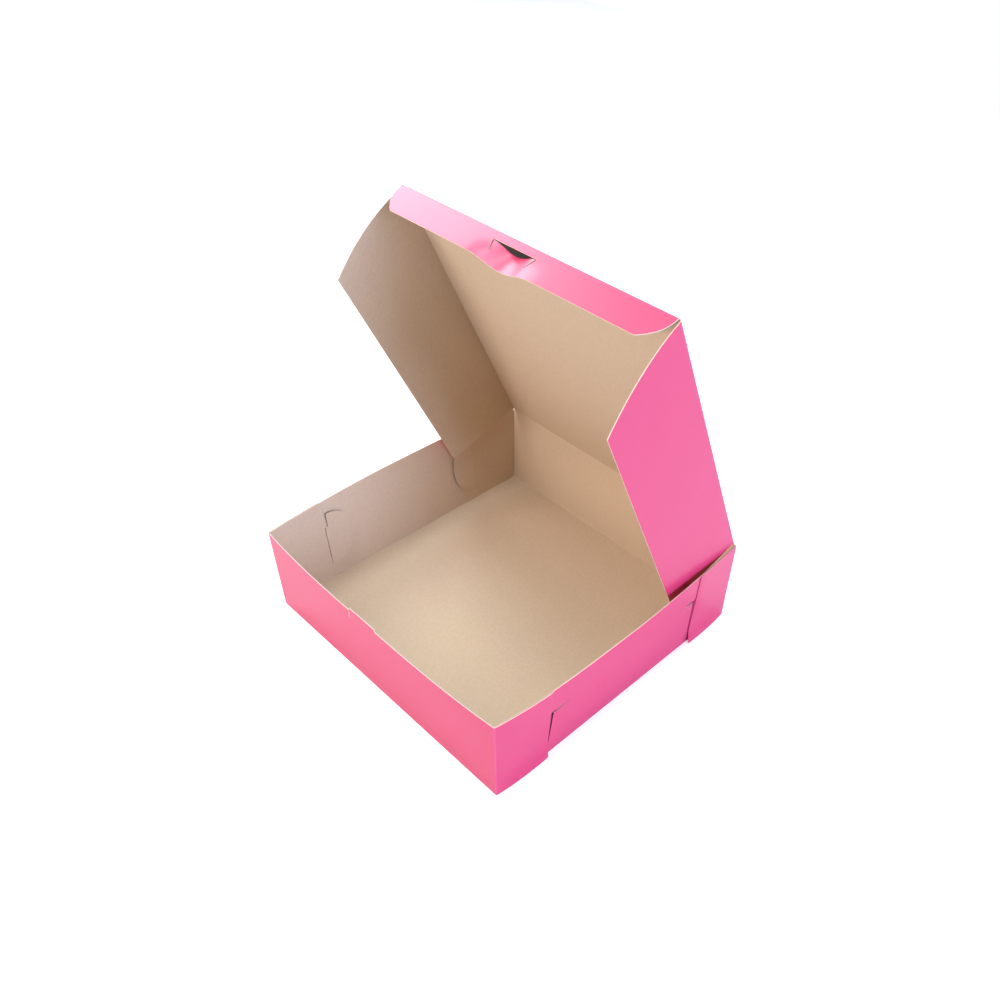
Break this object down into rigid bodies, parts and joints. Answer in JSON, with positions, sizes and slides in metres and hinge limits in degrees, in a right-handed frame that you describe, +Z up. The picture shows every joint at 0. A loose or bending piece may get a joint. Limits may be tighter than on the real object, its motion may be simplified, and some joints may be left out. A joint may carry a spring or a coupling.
{
  "type": "bakery box",
  "caption": "Shallow square paperboard bakery box with hook-locked corners and a hinged lid with side flaps and a slit tuck flap.",
  "frame": {"origin": "centre of the tray's underside, on the table", "axes": "+X to the right, +Y towards the hinged rear wall, +Z up; the front wall with the raised tab faces -Y"},
  "size_m": [0.269, 0.2587, 0.3035],
  "materials": {
    "paperboard": "clay-coated paperboard, satin pink outside and plain brown kraft inside"
  },
  "bodies": {
    "tray": {"tray": "paperboard"},
    "lid": {"lid_panel": "paperboard"},
    "right_flap": {"right_side_flap": "paperboard"},
    "left_flap": {"left_side_flap": "paperboard"},
    "tuck": {"tuck_flap": "paperboard"}
  },
  "joints": [
    {"name": "lid_hinge", "type": "hinge", "parent": "tray", "child": "lid", "pos_m": [0, 0.1267, 0.0762], "axis": [-1, 0, 0], "range_deg": [-65, 130]},
    {"name": "right_flap_fold", "type": "hinge", "parent": "lid", "child": "right_flap", "pos_m": [0.125, 0.12643, 0.07607], "axis": [0.0124, 0.4226, -0.9062], "range_deg": [0, 72]},
    {"name": "left_flap_fold", "type": "hinge", "parent": "lid", "child": "left_flap", "pos_m": [-0.125, 0.12643, 0.07607], "axis": [0.0124, -0.4226, 0.9062], "range_deg": [0, 72]},
    {"name": "tuck_fold", "type": "hinge", "parent": "lid", "child": "tuck", "pos_m": [0, 0.02065, 0.30292], "axis": [1, 0, 0], "range_deg": [-144, 20]}
  ]
}
